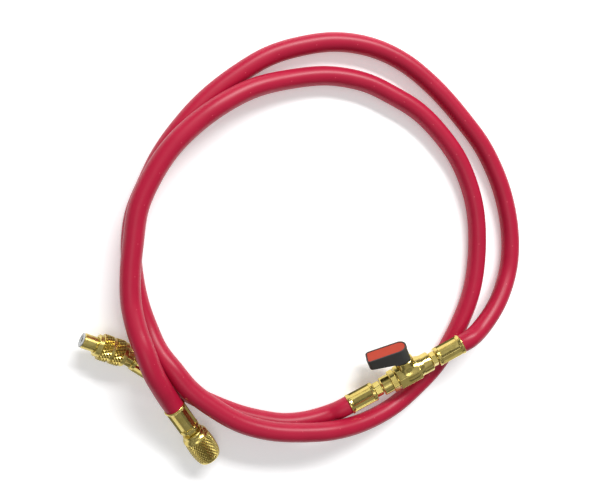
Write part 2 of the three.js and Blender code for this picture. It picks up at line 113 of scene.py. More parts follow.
nut_frame = lying_at((-45.9, -39.45, 7.1), 121.5, 14.6)
leg_frame = lying_at((-93.78, 26.9, 7.28), -35.9, -1.5)
tip_frame = lying_at((-93.78, 26.9, 7.28), 154.6, 11.5)
valve_frame = lying_at((83.7, 6.1, 16), 26.9, 7.2, -74)

end_mouth = along(nut_frame, NUT_LENGTH + NUT_FROM_FERRULE + FERRULE_LENGTH, True)
elbow_mouth = along(leg_frame, ELBOW_FROM_FERRULE + FERRULE_LENGTH, True)
whip_mouth = along(valve_frame, WHIP_MOUTH)
main_mouth = along(valve_frame, MAIN_MOUTH, True)
print("valve mouths", whip_mouth.translation, main_mouth.translation)

# %% [markdown]
# ## The hoses' routes
# A hose keeps its length, so its route comes before its looks. The points are
# the ones that the solid hoses follow, and a centripetal Catmull-Rom curve runs
# through them without overshooting. LOW is the height of a hose's middle where
# it lies on the floor. Where it crosses itself it climbs over the strand below.

# %% Routes of the two hoses
HOSE_DIAMETER = 12 * MM
STRAIGHT_END = 6 * MM
INSIDE_FERRULE = 2 * MM
LOW = 6.2

MAIN_POINTS = [
    (-75.6, 10, 22.9), (-80.5, 20, 25.4), (-85, 33, 25.4), (-89, 45, 22.2), (-91.8, 60, 19.2),
    (-91.8, 78, 18.8), (-90, 94, 18.8), (-86.8, 114, 18.8), (-80, 130, 18.8), (-70, 146, 18.5),
    (-57, 160, 17.9), (-39, 174, 16.4), (-18, 185.5, 12.6), (6, 192.5, 8.2), (32, 196, LOW),
    (56, 193, LOW), (74, 186, LOW), (93, 176, LOW), (110, 161, LOW), (124, 143, LOW),
    (135, 116, LOW), (138, 88, LOW), (135, 59, LOW), (126, 35, LOW), (110, 9, LOW),
    (91, -9, LOW), (75, -19, 8.2), (52, -25.5, 13.6), (30, -27, 18.4), (9, -26, 18.9),
    (-10, -23, 18.9), (-29, -16, 18.9), (-48, -3, 18.9), (-59.2, 7, 18.6), (-68.4, 19, 17.4),
    (-76.5, 30, 13.2), (-82, 43, 8.2), (-87, 59, LOW), (-90, 77, LOW), (-90.6, 93, LOW),
    (-88, 111, LOW), (-81, 128, LOW), (-72, 146, LOW), (-59, 164, LOW), (-44, 180, LOW),
    (-25, 195, LOW), (-7, 206, LOW), (13, 213, LOW), (36, 217, LOW), (60, 215, LOW),
    (82, 207, LOW), (104, 192, LOW), (126, 171, LOW), (142, 152, LOW), (156, 125, LOW),
    (163, 97, LOW), (162, 73, 7.6), (151, 50, 13), (135, 33, 18.2),
]
WHIP_POINTS = [
    (33, -19.6, 7), (17, -23, LOW), (2, -23, LOW), (-12, -20, LOW), (-27, -15, LOW),
    (-42, -8, LOW), (-56, 0, LOW),
]


def catmull_rom(points, per_span=12):
    """Points on the centripetal Catmull-Rom curve through these ones."""
    padded = [2 * points[0] - points[1], *points, 2 * points[-1] - points[-2]]
    line = []
    for p0, p1, p2, p3 in zip(padded, padded[1:], padded[2:], padded[3:]):
        d0, d1, d2 = (math.sqrt((b - a).length) for a, b in ((p0, p1), (p1, p2), (p2, p3)))
        t1 = ((p1 - p0) / d0 - (p2 - p0) / (d0 + d1) + (p2 - p1) / d1) * d1
        t2 = ((p2 - p1) / d1 - (p3 - p1) / (d1 + d2) + (p3 - p2) / d2) * d1
        for step in range(per_span):
            t = step / per_span
            line.append(
                p1 + t1 * t + (3 * (p2 - p1) - 2 * t1 - t2) * t ** 2
                + (2 * (p1 - p2) + t1 + t2) * t ** 3)
    return line + [points[-1]]


def hose_route(start, points, end):
    """The whole centreline, from inside one ferrule to inside the other."""
    ends = [
        [mouth @ Vector((x, 0, 0)) for x in (INSIDE_FERRULE, -STRAIGHT_END)]
        for mouth in (start, end)]
    middle = [Vector(p) * MM for p in points]
    return catmull_rom(ends[0] + middle + ends[1][::-1])


def length_of(line):
    """The length of a line of points."""
    return sum((b - a).length for a, b in zip(line, line[1:]))


main_route = hose_route(end_mouth, MAIN_POINTS, main_mouth)
whip_route = hose_route(whip_mouth, WHIP_POINTS, elbow_mouth)
for label, route in (("main hose", main_route), ("whip hose", whip_route)):
    print(label, round(length_of(route), 3), "m")

# %% [markdown]
# ## From a route to a hose
# A curve with a round bevel is swept along the route and made a mesh. Its UV
# map runs along the hose and round it, which the rubber's marks follow.

# %% Hose meshes
HOSE_ROUNDNESS = 6


def only(obj):
    """Makes this the one selected and active object."""
    if bpy.context.mode != "OBJECT":
        bpy.ops.object.mode_set(mode="OBJECT")
    bpy.ops.object.select_all(action="DESELECT")
    obj.select_set(True)
    bpy.context.view_layer.objects.active = obj
    return obj


def swept_hose(name, route):
    """A closed tube along the route, with UVs from 0 to 1 along it and round it."""
    curve = bpy.data.curves.new(name, "CURVE")
    curve.dimensions = "3D"
    curve.bevel_depth = HOSE_DIAMETER / 2
    curve.bevel_resolution = HOSE_ROUNDNESS
    curve.use_fill_caps = True
    spline = curve.splines.new("POLY")
    spline.points.add(len(route) - 1)
    for point, place in zip(spline.points, route):
        point.co = (*place, 1)
    hose = bpy.data.objects.new(name, curve)
    bpy.context.scene.collection.objects.link(hose)
    only(hose)
    bpy.ops.object.convert(target="MESH")
    hose = bpy.context.view_layer.objects.active
    only(hose)
    bpy.ops.object.mode_set(mode="EDIT")
    bpy.ops.mesh.select_all(action="SELECT")
    bpy.ops.mesh.remove_doubles(threshold=1e-6)
    bpy.ops.mesh.normals_make_consistent(inside=False)
    bpy.ops.object.mode_set(mode="OBJECT")
    bpy.ops.object.shade_smooth_by_angle(angle=math.radians(40))
    return hose


main_hose = swept_hose("hose_long", main_route)
whip_hose = swept_hose("hose_whip", whip_route)
for hose_piece in (main_hose, whip_hose):
    uv_names = [layer.name for layer in hose_piece.data.uv_layers]
    print(hose_piece.name, len(hose_piece.data.polygons), "faces", uv_names)

# %% [markdown]
# ## Tools for turned and knurled brass
# Turned pieces are drawn the way a lathe cuts them: one vertex is extruded from
# corner to corner of the profile, and the profile is spun about the X axis. A
# narrow bevel then gives each edge the small radius that catches the light.

# %% Helpers for meshes
HEXAGON = 6
OCTAGON = 8


def place(obj, matrix, name=None):
    """Puts a piece in its place through its mesh, so its object stays at the origin."""
    obj.data.transform(obj.matrix_world)
    obj.matrix_world = Matrix()
    obj.data.transform(matrix)
    obj.data.update()
    if name:
        obj.name = name
        obj.data.name = name
    return obj


def tidy(obj):
    """Merges doubles, turns the faces outwards and smooths what isn't an edge."""
    only(obj)
    bpy.ops.object.mode_set(mode="EDIT")
    bpy.ops.mesh.select_all(action="SELECT")
    bpy.ops.mesh.remove_doubles(threshold=2e-6)
    bpy.ops.mesh.normals_make_consistent(inside=False)
    bpy.ops.object.mode_set(mode="OBJECT")
    bpy.ops.object.shade_smooth_by_angle(angle=math.radians(35))
    return obj


def soften(obj, width, segments=2, angle=30):
    """Rounds every edge sharper than the angle, and keeps the faces beside it flat."""
    only(obj)
    bpy.ops.object.shade_smooth_by_angle(angle=math.radians(angle))
    bevel = obj.modifiers.new("edge", "BEVEL")
    bevel.harden_normals = True
    bevel.width = width
    bevel.segments = segments
    bevel.limit_method = "ANGLE"
    bevel.angle_limit = math.radians(angle)
    bpy.ops.object.modifier_apply(modifier=bevel.name)
    return obj


def cut(obj, cutter):
    """Takes the cutter out of the piece."""
    only(obj)
    boolean = obj.modifiers.new("cut", "BOOLEAN")
    boolean.operation = "DIFFERENCE"
    boolean.solver = "EXACT"
    boolean.object = cutter
    bpy.ops.object.modifier_apply(modifier=boolean.name)
    bpy.data.objects.remove(cutter)
    return obj


def joined(name, *parts):
    """Makes several parts one piece."""
    only(parts[0])
    for part in parts:
        part.select_set(True)
    bpy.ops.object.join()
    parts[0].name = name
    parts[0].data.name = name
    return parts[0]


def spun(profile, sides=48, edge=0.12, closed=False):
    """A turned piece on the X axis from its profile of (x, radius) in millimetres. A
    closed profile goes round a ring's wall, and an open one ends on the axis."""
    bpy.ops.object.select_all(action="DESELECT")
    bpy.ops.mesh.primitive_plane_add(size=0.001)
    piece = bpy.context.active_object
    bpy.ops.object.mode_set(mode="EDIT")
    bpy.ops.mesh.merge(type="CENTER")
    start = Vector((profile[0][0], 0, profile[0][1])) * MM
    bpy.ops.transform.translate(value=start)
    for (x0, r0), (x1, r1) in zip(profile, profile[1:]):
        step = Vector((x1 - x0, 0, r1 - r0)) * MM
        bpy.ops.mesh.extrude_vertices_move(TRANSFORM_OT_translate={"value": step})
    bpy.ops.mesh.select_all(action="SELECT")
    if closed:
        mesh = bmesh.from_edit_mesh(piece.data)
        for vertex in mesh.verts:
            vertex.select = len(vertex.link_edges) == 1
        bmesh.update_edit_mesh(piece.data)
        bpy.ops.mesh.edge_face_add()
        bpy.ops.mesh.select_all(action="SELECT")
    bpy.ops.mesh.spin(steps=sides, angle=math.tau, center=(0, 0, 0), axis=(1, 0, 0))
    bpy.ops.object.mode_set(mode="OBJECT")
    tidy(piece)
    return soften(piece, edge * MM) if edge else piece


def upright_to_x(obj):
    """Lays a primitive that stands on Z along X."""
    return place(obj, Matrix.Rotation(math.pi / 2, 4, "Y"))


def prism(across_flats, flats, start, end, edge=0.25, phase=0.5):
    """A bar with flats on the X axis, its ends and corners broken, in millimetres."""
    bpy.ops.object.select_all(action="DESELECT")
    radius = across_flats / 2 / math.cos(math.pi / flats)
    bpy.ops.mesh.primitive_cylinder_add(
        vertices=flats, radius=radius * MM, depth=(end - start) * MM,
        location=(0, 0, 0), rotation=(0, 0, phase * math.tau / flats))
    bar = bpy.context.active_object
    upright_to_x(bar)
    place(bar, Matrix.Translation(((start + end) / 2 * MM, 0, 0)))
    tidy(bar)
    return soften(bar, edge * MM)


def knurled(start, end, radius, depth, around, rows, slant=0, barrel=0):
    """A band of knurl: a checkerboard of raised and sunk points, joined along the
    sunk ones, which leaves pyramids between two sets of crossing grooves. It can
    be twisted by slant, in radians over its length, and narrowed by barrel at its
    ends. The attribute relief is 1 in the grooves and 0 on the points."""
    bpy.ops.object.select_all(action="DESELECT")
    length = (end - start) * MM
    bpy.ops.mesh.primitive_cylinder_add(
        vertices=2 * around, radius=radius * MM, depth=length,
        end_fill_type="NOTHING", location=(0, 0, 0))
    band = bpy.context.active_object
    bpy.ops.object.mode_set(mode="EDIT")
    mesh = bmesh.from_edit_mesh(band.data)
    for edge in mesh.edges:
        edge.select = abs(edge.verts[0].co.z - edge.verts[1].co.z) > length / 2
    bmesh.update_edit_mesh(band.data)
    bpy.ops.mesh.subdivide(number_cuts=2 * rows - 1)
    bpy.ops.mesh.select_all(action="DESELECT")
    bpy.ops.mesh.select_mode(type="VERT")
    mesh = bmesh.from_edit_mesh(band.data)
    for vertex in mesh.verts:
        column = round(math.atan2(vertex.co.y, vertex.co.x) * around / math.pi)
        ring = round((vertex.co.z / length + 0.5) * 2 * rows)
        vertex.select = (column + ring) % 2 == 1
    mesh.select_flush_mode()
    bmesh.update_edit_mesh(band.data)
    sunk = 1 - depth / radius
    bpy.ops.transform.resize(value=(sunk, sunk, 1), center_override=(0, 0, 0))
    bpy.ops.mesh.vert_connect()
    bpy.ops.mesh.select_all(action="SELECT")
    bpy.ops.mesh.fill_holes(sides=0)
    bpy.ops.object.mode_set(mode="OBJECT")
    # relief marks the grooves, into which the brass paints shade
    relief = band.data.attributes.new("relief", "FLOAT", "POINT")
    for vertex in band.data.vertices:
        across_axis = math.hypot(vertex.co.x, vertex.co.y)
        in_groove = across_axis < (radius - depth / 2) * MM
        relief.data[vertex.index].value = 1.0 if in_groove else 0.0
        t = vertex.co.z / length
        bulge = 1 - barrel / radius * 4 * t * t
        turn = Matrix.Rotation(slant * t, 3, "Z")
        vertex.co = turn @ Vector((vertex.co.x * bulge, vertex.co.y * bulge, vertex.co.z))
    upright_to_x(band)
    place(band, Matrix.Translation(((start + end) / 2 * MM, 0, 0)))
    only(band)
    bpy.ops.object.mode_set(mode="EDIT")
    bpy.ops.mesh.select_all(action="SELECT")
    bpy.ops.mesh.normals_make_consistent(inside=False)
    bpy.ops.object.mode_set(mode="OBJECT")
    return band


# %% [markdown]
# ## Crimped ferrules
# A ferrule is a brass sleeve that eight dies press onto the hose. The dies leave
# eight sunken flats with a ridge between each two, and both ends stay round. The
# flats come from an eight-sided bar. Each of its sides is inset and pushed in
# twice, a little at the ridge and then deeper, so that it is sunk like a dish.

# %% Ferrules
RIM_RADIUS = 6.7
CRIMP_FLATS = 12.1
CRIMP_MARGIN = 1.2
CRIMP_STEPS = ((0.32, 0.14), (1.0, 0.42))
SMALLEST_PANEL = (5 * MM) * (4 * MM)


def crimped_ferrule():
    """A ferrule on the X axis with its mouth at x = 0."""
    length = FERRULE_LENGTH / MM
    sleeve = prism(CRIMP_FLATS, OCTAGON, CRIMP_MARGIN, length - CRIMP_MARGIN, edge=0.01)
    only(sleeve)
    bpy.ops.object.mode_set(mode="EDIT")
    mesh = bmesh.from_edit_mesh(sleeve.data)
    for face in mesh.faces:
        face.select = abs(face.normal.x) < 0.1 and face.calc_area() > SMALLEST_PANEL
    bmesh.update_edit_mesh(sleeve.data)
    for inwards, depth in CRIMP_STEPS:
        bpy.ops.mesh.inset(thickness=inwards * MM, depth=-depth * MM, use_individual=True)
    bpy.ops.object.mode_set(mode="OBJECT")
    soften(sleeve, 0.1 * MM, angle=15)
    mouth_rim = spun([
        (0, 5.9), (0, 6.5), (0.3, RIM_RADIUS), (0.9, RIM_RADIUS), (1.5, 6.35),
        (2.6, 6.05), (2.6, 5.8),
    ], closed=True)
    back_rim = spun([
        (length - 2.5, 0), (length - 2.5, 5.9), (length - 2.2, 6.35), (length - 0.4, 6.4),
        (length, 6.0), (length, 3.4), (length - 0.6, 3.4), (length - 0.6, 0),
    ])
    return joined("ferrule", sleeve, mouth_rim, back_rim)


first_ferrule = crimped_ferrule()
ferrules = []
for name, mouth in (
    ("end_ferrule", end_mouth), ("elbow_ferrule", elbow_mouth),
    ("whip_valve_ferrule", whip_mouth), ("main_valve_ferrule", main_mouth),
):
    piece = first_ferrule.copy()
    piece.data = first_ferrule.data.copy()
    bpy.context.scene.collection.objects.link(piece)
    place(piece, mouth, "crimped_" + name)
    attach(piece, "hose")
    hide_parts(name)
    ferrules.append((piece, mouth))
bpy.data.objects.remove(first_ferrule)
print("ferrules", len(ferrules), "faces each", len(ferrules[0][0].data.polygons))

# %% [markdown]
# ## The swivel nut
# The nut has a smooth ring round its open socket, a diamond knurl to grip, and a
# taller ring that slopes down to a shoulder at the hose. The knurl is a slightly
# barrelled band of its own between the two rings. Inside the socket a few rings
# stand in for the thread.

# %% Swivel nut
NUT_RADIUS = 8.5
KNURL_START = 2.6
KNURL_END = 18.2
NUT_KNURL = dict(radius=NUT_RADIUS, depth=0.65, around=30, rows=6, slant=0.3, barrel=0.55)
THREAD_RINGS = 8
THREAD_RADII = (5.0, 5.35)


def swivel_nut():
    """The nut on the X axis with its open face at x = 0."""
    length = NUT_LENGTH / MM
    thread = []
    for ring in range(THREAD_RINGS):
        thread += [(1.4 + ring, THREAD_RADII[0]), (1.9 + ring, THREAD_RADII[1])]
    shell = spun([
        (length, 3.8), (length, 5.9), (length - 0.4, 6.4), (KNURL_END + 2.5, 6.6),
        (KNURL_END + 2.3, 6.9), (KNURL_END + 1.4, 7.8), (KNURL_END, 8.1),
        (KNURL_END - 0.2, 7.6), (KNURL_END - 0.9, 7.5), (KNURL_START + 0.2, 7.2),
        (KNURL_START, 7.6), (1.2, 7.5), (0.3, 7.1), (0, 6.7), (0, 5.6), (0.6, 5.3),
        *thread, (12, 5.3), (length - 2.4, 5.3), (length - 2.4, 3.8),
    ], sides=64, edge=0, closed=True)
    soften(shell, 0.12 * MM, angle=35)
    knurl = knurled(KNURL_START - 0.1, KNURL_END - 0.5, **NUT_KNURL)
    return joined("swivel_nut", shell, knurl)


nut = place(swivel_nut(), nut_frame)
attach(nut, "nut")
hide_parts("end_nut")
print("nut", len(nut.data.polygons), "faces")

# %% [markdown]
# ## The angled coupler
# The sleeve turns on the coupler's tube. It has two bands of coarse knurl, each
# two pyramids long, with a groove between them, a plain skirt at the elbow and a
# smooth collar at the front. The elbow is a ball where the tube and the neck
# meet, with a hexagon round it on the line of each. A pale seal ends the tube.

# %% Coupler
SLEEVE_BACK = 1.82
BAND_LENGTH = 5.4
SKIRT_END = SLEEVE_BACK + 2.9
GROOVE_START = SKIRT_END + BAND_LENGTH
GROOVE_END = GROOVE_START + 1.9
BANDS_END = GROOVE_END + BAND_LENGTH
COLLAR_END = BANDS_END + 3.1
TUBE_END = 28.65
BAND_KNURL = dict(radius=8.0, depth=0.9, around=22, rows=2, slant=0.24)
KNUCKLE_RADIUS = 5.2


def coupler_sleeve():
    """The sleeve on the X axis, which runs from the elbow to the tip."""
    core = spun([
        (SLEEVE_BACK, 5.8), (SLEEVE_BACK, 6.8), (SLEEVE_BACK + 0.5, 7.3), (SKIRT_END - 0.3, 7.3),
        (SKIRT_END, 7.1), (BANDS_END, 7.1), (BANDS_END + 0.3, 6.5), (COLLAR_END - 0.5, 6.5),
        (COLLAR_END, 6.0), (COLLAR_END, 4.75), (COLLAR_END - 1.4, 4.75), (COLLAR_END - 1.4, 5.8),
    ], sides=64, closed=True)
    back_band = knurled(SKIRT_END - 0.1, GROOVE_START, **BAND_KNURL)
    front_band = knurled(GROOVE_END, BANDS_END + 0.1, **BAND_KNURL)
    return joined("knurled_sleeve", core, back_band, front_band)


sleeve = place(coupler_sleeve(), tip_frame)
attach(sleeve, "sleeve")
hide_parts("coupler_sleeve")


def elbow():
    """The elbow with its neck, faceted shoulder and smooth tube, in place."""
    neck_end = ELBOW_FROM_FERRULE / MM
    tube = place(spun([
        (0, 0), (0, 4.6), (5.2, 4.6), (5.2, 5.5), (6.8, 5.5), (6.8, 4.5),
        (TUBE_END - 0.5, 4.5), (TUBE_END, 4.1), (TUBE_END, 2.3), (TUBE_END - 6, 2.3),
        (TUBE_END - 6, 0),
    ]), tip_frame)
    bpy.ops.object.select_all(action="DESELECT")
    bpy.ops.mesh.primitive_uv_sphere_add(
        segments=32, ring_count=16, radius=KNUCKLE_RADIUS * MM)
    knuckle = place(bpy.context.active_object, tip_frame)
    facets = place(prism(10.3, HEXAGON, -2.2, 1.5, edge=0.35, phase=0), tip_frame)
    shoulder = place(prism(10.4, HEXAGON, -1.5, neck_end - 0.4, edge=0.35), leg_frame)
    neck = place(spun([
        (2, 0), (2, 4.4), (neck_end + 0.3, 4.4), (neck_end + 0.3, 0),
    ]), leg_frame)
    return tidy(joined("coupler_elbow", tube, knuckle, facets, shoulder, neck))


elbow_piece = elbow()
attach(elbow_piece, "hose")
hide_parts("elbow_stem")

tip_seal = place(spun([
    (TUBE_END + 0.05, 1.4), (TUBE_END + 0.05, 4.1), (TUBE_END + 0.5, 4.3),
    (TUBE_END + 0.8, 4.0), (TUBE_END + 0.8, 2.9), (TUBE_END + 0.2, 2.6), (TUBE_END + 0.2, 1.4),
], closed=True), tip_frame, "tip_ring_seal")
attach(tip_seal, "hose")
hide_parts("coupler_seal")
print("sleeve", len(sleeve.data.polygons), "elbow", len(elbow_piece.data.polygons))

# %% [markdown]
# ## The ball valve
# The body is a forging with machined ends: an eight-sided block with a bulb that
# swells out of it round the ball, a boss on top for the stem, and a round tube to
# the long hose. The bulb is set a little higher than the block, so it rounds the
# top while the block's flats show lower down. The tailpiece screws in from the
# other side, so it shows a hexagon and a round tube of its own. The two stems
# show their hexagons between the valve and the ferrules.

# %% Valve body and tailpiece
BULB_RISE = 0.6 * MM


def valve_body():
    """The body on the X axis, its boss along Z."""
    block = prism(15.4, OCTAGON, -8.6, 7.1, edge=0.45)
    tube = spun([
        (1, 0), (1, 6.6), (15.5, 6.6), (16.1, 6.4), (16.6, 5.6), (16.6, 3.9), (16.2, 3.9),
        (16.2, 0),
    ], sides=56)
    bulb = spun([
        (-6.6, 0), (-6.6, 6.0), (-5, 7.2), (-2, 7.95), (1, 8.1), (4, 8.0), (6.5, 7.6),
        (8.5, 7.0), (10.5, 6.3), (11.5, 5.9), (11.5, 0),
    ], sides=96, edge=0)
    place(bulb, Matrix.Translation((0, 0, BULB_RISE)))
    boss = spun([
        (2, 0), (2, 6.9), (6.4, 6.6), (7.4, 6.25), (8.4, 6.2), (11.6, 6.2), (12, 5.8), (12, 0),
    ], sides=56)
    place(boss, Matrix.Rotation(-math.pi / 2, 4, "Y"))
    return joined("ball_valve_body", block, tube, bulb, boss)


body = place(valve_body(), valve_frame)
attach(body, "hose")
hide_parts("valve_body")

tail = joined(
    "tailpiece_hexagon",
    prism(13, HEXAGON, -13.3, -9.1, edge=0.5, phase=0),
    spun([
        (-20, 0), (-20, 5.5), (-19.4, 6.05), (-13.5, 6.05), (-13.1, 5.8), (-13.1, 0),
    ], sides=56),
    spun([(-9.6, 0), (-9.6, 5.9), (-8.4, 5.9), (-8.4, 0)], sides=56),
)
place(tail, valve_frame)
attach(tail, "hose")
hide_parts("valve_tailpiece")


def hexagon_stem(name, node, mouth, neck):
    """The hexagon that shows between a ferrule and the valve."""
    start = FERRULE_LENGTH / MM
    stem = joined(
        name,
        prism(8.6, HEXAGON, start + 0.3, start + neck - 0.5, edge=0.3, phase=0),
        spun([
            (start - 1, 0), (start - 1, 3.6), (start + neck + 0.4, 3.6), (start + neck + 0.4, 0),
        ]),
    )
    place(stem, mouth)
    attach(stem, "hose")
    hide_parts(node)
    return stem


whip_stem = hexagon_stem("hexagon_whip", "whip_valve_stem", whip_mouth, 5.3)
main_stem = hexagon_stem("hexagon_main", "main_valve_stem", main_mouth, 4.4)
print("valve body", len(body.data.polygons), "tailpiece", len(tail.data.polygons))

# %% [markdown]
# ## The lever
# The lever is a moulding with a round hub at one end. It starts as a box whose
# upright edges are bevelled, fully round at the hub. Its underside is cut to a
# slope that rises towards the tip, a hole in the hub with a slot at its back
# shows the stem's splined head, and a pocket in the top holds the orange insert.
# The stem has 32 splines, which are cut by drawing in every second point.

# %% Lever, insert and stem
LEVER_TOP = 22.4
LEVER_BOTTOM = 12.3
LEVER_WIDTH = 11
LEVER_LENGTH = 27.2
INSERT_BORDER = 1
STEM_HEAD_RADIUS = 4
BACK_SLOT_WIDTH = 4.6
INSERT_DEPTH = 1.4
HUB_ROUNDING = 5.49
DEPTH_AT_HUB = 9.2
DEPTH_AT_TIP = 6.4
HOLE_TOP = 20.5
BACK_SLOT_REACH = 7
BACK_SLOT_HEIGHT = 11.5
HEAD_HEIGHT = 7.9
HEAD_MIDDLE = 16.35
WEDGE = Vector((40, 30, 20)) * MM
SPLINES = 32
SPLINE_DEPTH = 0.08
LEVER_ASIDE = math.radians(15)
lever_frame = valve_frame @ Matrix.Rotation(math.pi - LEVER_ASIDE, 4, "Z")


def rounded_bar(x0, x1, width, z0, z1, hub_round, tip_round):
    """A box with its two hub edges and two tip edges rounded, in millimetres."""
    bpy.ops.object.select_all(action="DESELECT")
    bpy.ops.mesh.primitive_cube_add(
        size=1, scale=((x1 - x0) * MM, width * MM, (z1 - z0) * MM),
        location=((x0 + x1) / 2 * MM, 0, (z0 + z1) / 2 * MM))
    bar = place(bpy.context.active_object, Matrix())
    for x, rounding, segments in ((x0, hub_round, 16), (x1, tip_round, 6)):
        only(bar)
        bpy.ops.object.mode_set(mode="EDIT")
        bpy.ops.mesh.select_all(action="DESELECT")
        bpy.ops.mesh.select_mode(type="EDGE")
        mesh = bmesh.from_edit_mesh(bar.data)
        for edge in mesh.edges:
            a, b = (v.co for v in edge.verts)
            upright = abs(a.z - b.z) > (z1 - z0) * MM * 0.9
            edge.select = upright and abs(a.x - x * MM) < 1e-6 and abs(b.x - x * MM) < 1e-6
        bmesh.update_edit_mesh(bar.data)
        bpy.ops.mesh.bevel(offset=rounding * MM, segments=segments, affect="EDGES")
        bpy.ops.object.mode_set(mode="OBJECT")
    return bar


def lever():
    """The lever on the X axis from its hub to its tip, its pivot along Z."""
    tip = LEVER_LENGTH - LEVER_WIDTH / 2
    handle = rounded_bar(
        -LEVER_WIDTH / 2, tip, LEVER_WIDTH, LEVER_BOTTOM, LEVER_TOP, HUB_ROUNDING, 2.4)
    root_x, root_z = LEVER_WIDTH / 2, LEVER_TOP - DEPTH_AT_HUB
    slope = math.atan2(DEPTH_AT_HUB - DEPTH_AT_TIP, tip - root_x)
    bpy.ops.object.select_all(action="DESELECT")
    bpy.ops.mesh.primitive_cube_add(
        size=1, scale=WEDGE, location=(WEDGE.x / 2, 0, -WEDGE.z / 2))
    wedge = place(bpy.context.active_object, Matrix())
    to_root = Matrix.Translation((root_x * MM, 0, root_z * MM))
    place(wedge, to_root @ Matrix.Rotation(-slope, 4, "Y"))
    cut(handle, wedge)
    only(handle)
    bpy.ops.object.mode_set(mode="EDIT")
    bpy.ops.mesh.select_mode(type="FACE")
    bpy.ops.mesh.select_all(action="DESELECT")
    mesh = bmesh.from_edit_mesh(handle.data)
    for face in mesh.faces:
        face.select = face.normal.z > 0.9
    bmesh.update_edit_mesh(handle.data)
    bpy.ops.mesh.inset(thickness=(INSERT_BORDER - 0.15) * MM)
    bpy.ops.mesh.extrude_region_move(TRANSFORM_OT_translate={"value": (0, 0, -INSERT_DEPTH * MM)})
    bpy.ops.object.mode_set(mode="OBJECT")
    hole_radius = STEM_HEAD_RADIUS + 0.1
    hole = spun([
        (LEVER_BOTTOM - 1, 0), (LEVER_BOTTOM - 1, hole_radius), (HOLE_TOP, hole_radius),
        (HOLE_TOP, 0),
    ], edge=0)
    cut(handle, place(hole, Matrix.Rotation(-math.pi / 2, 4, "Y")))
    bpy.ops.object.select_all(action="DESELECT")
    bpy.ops.mesh.primitive_cube_add(
        size=1, scale=(BACK_SLOT_REACH * MM, BACK_SLOT_WIDTH * MM, BACK_SLOT_HEIGHT * MM),
        location=(-BACK_SLOT_REACH / 2 * MM, 0, (HOLE_TOP - BACK_SLOT_HEIGHT / 2) * MM))
    cut(handle, place(bpy.context.active_object, Matrix()))
    handle.name = "black_lever"
    return soften(tidy(handle), 0.45 * MM, segments=3, angle=40)


def insert():
    """The orange insert, a little domed by its rounded edges."""
    tip = LEVER_LENGTH - LEVER_WIDTH / 2 - INSERT_BORDER
    plate = rounded_bar(
        -LEVER_WIDTH / 2 + INSERT_BORDER, tip, LEVER_WIDTH - 2 * INSERT_BORDER,
        LEVER_TOP - INSERT_DEPTH + 0.05, LEVER_TOP - 0.1,
        LEVER_WIDTH / 2 - INSERT_BORDER - 0.01, 1.3)
    plate.name = "orange_insert"
    return soften(tidy(plate), 0.25 * MM, segments=3, angle=50)


def splined_stem():
    """The stem's head with fine upright splines, and its round shank below."""
    bpy.ops.object.select_all(action="DESELECT")
    bpy.ops.mesh.primitive_cylinder_add(
        vertices=2 * SPLINES, radius=STEM_HEAD_RADIUS * MM, depth=HEAD_HEIGHT * MM,
        location=(0, 0, HEAD_MIDDLE * MM))
    head = place(bpy.context.active_object, Matrix())
    only(head)
    bpy.ops.object.mode_set(mode="EDIT")
    bpy.ops.mesh.select_all(action="DESELECT")
    bpy.ops.mesh.select_mode(type="VERT")
    mesh = bmesh.from_edit_mesh(head.data)
    for vertex in mesh.verts:
        column = round(math.atan2(vertex.co.y, vertex.co.x) * SPLINES / math.pi)
        vertex.select = column % 2 == 0
    bmesh.update_edit_mesh(head.data)
    drawn_in = 1 - SPLINE_DEPTH
    bpy.ops.transform.resize(value=(drawn_in, drawn_in, 1), center_override=(0, 0, 0))
    bpy.ops.object.mode_set(mode="OBJECT")
    shank = spun([(4.5, 0), (4.5, 2.5), (13, 2.5), (13, 0)])
    place(shank, Matrix.Rotation(-math.pi / 2, 4, "Y"))
    return tidy(joined("splined_stem", head, shank))


lever_piece = place(lever(), lever_frame)
insert_piece = place(insert(), lever_frame)
stem_piece = place(splined_stem(), lever_frame)
for piece, node, slot_name in (
    (lever_piece, "lever_handle", "lever_plastic"),
    (insert_piece, "lever_insert", "insert_plastic"),
    (stem_piece, "valve_stem", "brass"),
):
    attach(piece, "lever")
    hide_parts(node)
print("lever", len(lever_piece.data.polygons), "stem", len(stem_piece.data.polygons))

# %% [markdown]
# ## The hoses ride on the part
# Each hose is attached to the part's hose body and the solid hose it stands
# in for is hidden; its route's length is worked out but not used.

for piece, node, start, route, on_it in (
    (main_hose, "main_hose", main_mouth, main_route, [ferrules[0][0], nut]),
    (whip_hose, "whip_hose", whip_mouth, whip_route,
     [ferrules[1][0], elbow_piece, sleeve, tip_seal]),
):
    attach(piece, "hose")
    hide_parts(node)
    length_of(route)

# %% [markdown]
# ## Shader maths in plain expressions
# A wire wraps an output socket, so that arithmetic on it adds the Math nodes. A
# finish wraps a material and adds any other node by its type.

# %% Wires and finishes


class Wire:
    """An output socket that can be added, taken away and multiplied like a number."""

    def __init__(self, finish, socket):
        self.finish = finish
        self.socket = socket

    def maths(self, operation, *values):
        return self.finish.node("ShaderNodeMath", {"operation": operation}, dict(enumerate(values)))

    def __add__(self, other):
        return self.maths("ADD", self, other)

    def __sub__(self, other):
        return self.maths("SUBTRACT", self, other)

    def __mul__(self, other):
        return self.maths("MULTIPLY", self, other)

    def __rsub__(self, other):
        return self.maths("SUBTRACT", other, self)

    __radd__ = __add__
    __rmul__ = __mul__

    def clamped(self):
        return self.maths("MINIMUM", self.maths("MAXIMUM", self, 0.0), 1.0)

    def wave(self):
        return self.maths("SINE", self) * 0.5 + 0.5

    def root(self):
        return self.maths("SQRT", self)

    def below(self, limit):
        return self.maths("LESS_THAN", self, limit)

    def repeat(self, half):
        """The distance to the nearest multiple of twice this length."""
        return self.maths("PINGPONG", self, half)


